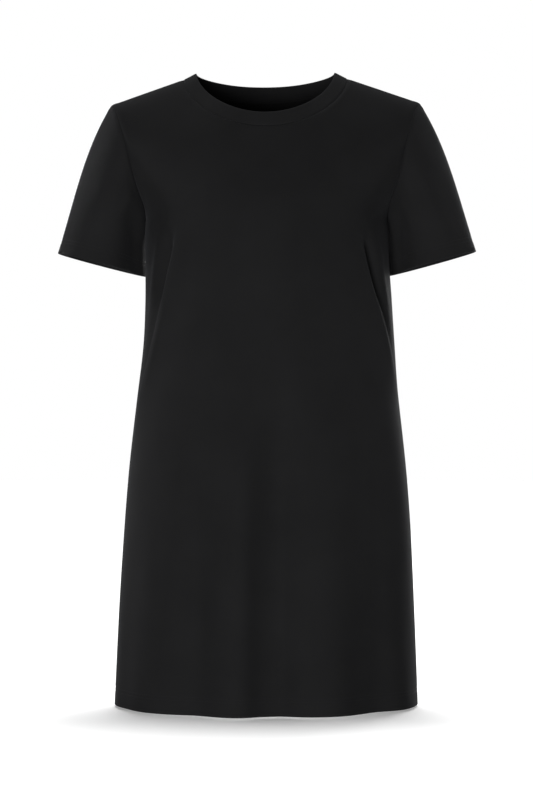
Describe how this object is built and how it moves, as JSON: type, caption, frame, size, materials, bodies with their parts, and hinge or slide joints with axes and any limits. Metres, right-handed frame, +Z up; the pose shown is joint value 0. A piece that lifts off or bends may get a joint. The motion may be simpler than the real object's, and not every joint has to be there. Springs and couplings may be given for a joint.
{
  "type": "shift dress",
  "caption": "Black knit shift dress with a crew neck, short set-in sleeves and an A-line skirt to mid thigh, filled out and hollow as when worn.",
  "frame": {"origin": "midway between the neck ends of the two shoulder seams, where the wearer's shoulders hold the dress up", "axes": "+Z up, -Y out of the front of the dress, +X towards the wearer's left"},
  "size_m": [0.5616, 0.273, 0.8489],
  "materials": {
    "knit": "matt black jersey with a faint sheen"
  },
  "bodies": {
    "root": {"front": "knit", "back": "knit", "sleeve_left": "knit", "sleeve_right": "knit", "neckband": "knit"}
  },
  "joints": []
}
